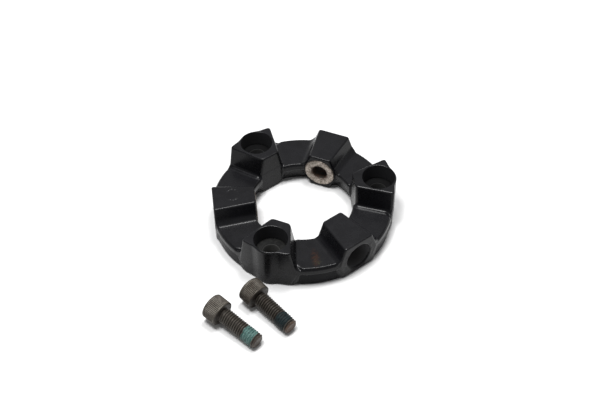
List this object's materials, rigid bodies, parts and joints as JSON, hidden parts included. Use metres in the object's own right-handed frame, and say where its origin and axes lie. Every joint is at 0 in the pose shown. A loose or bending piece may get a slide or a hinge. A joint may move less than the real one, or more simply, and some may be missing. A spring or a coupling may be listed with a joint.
{
  "type": "elastic shaft coupling element",
  "caption": "Black rubber ring with alternating raised lugs, bonded steel bushes for axial and radial screws, and loose socket cap screws with thread lock patches.",
  "frame": {"origin": "on the ring's axis, in the plane that the three axial bushes rest on", "axes": "+Z along the ring's axis towards the lug tops; +X through the first axial bush"},
  "size_m": [0.1056, 0.1298, 0.024],
  "materials": {
    "rubber": "satin moulded rubber, slightly dusty on the flat faces",
    "bush_steel": "turned steel, dull, with light rust at the hole edges",
    "screw_steel": "weathered black-oxide steel with brown wear",
    "thread_lock": "dried blue-green thread lock film"
  },
  "bodies": {
    "flange_side": {"rubber_body": "rubber", "axial_bush_1": "bush_steel", "axial_bush_2": "bush_steel", "axial_bush_3": "bush_steel"},
    "hub_side": {"radial_bush_1": "bush_steel", "radial_bush_2": "bush_steel", "radial_bush_3": "bush_steel"},
    "screw_1": {"cap_screw_1": "screw_steel", "thread_lock_patch_1": "thread_lock"},
    "screw_2": {"cap_screw_2": "screw_steel", "thread_lock_patch_2": "thread_lock"}
  },
  "joints": [
    {"name": "wind_up", "type": "hinge", "parent": "flange_side", "child": "hub_side", "pos_m": [0, 0, 0.0103], "axis": [0, 0, 1], "range_deg": [-6, 6], "stiffness_Nm_per_rad": 600, "deforming": ["rubber_body"]},
    {"name": "screw_1_lift", "type": "slide", "parent": "flange_side", "child": "screw_1", "axis": [0, 0, 1], "range_m": [0, 0.04]},
    {"name": "screw_2_lift", "type": "slide", "parent": "flange_side", "child": "screw_2", "axis": [0, 0, 1], "range_m": [0, 0.04]}
  ]
}
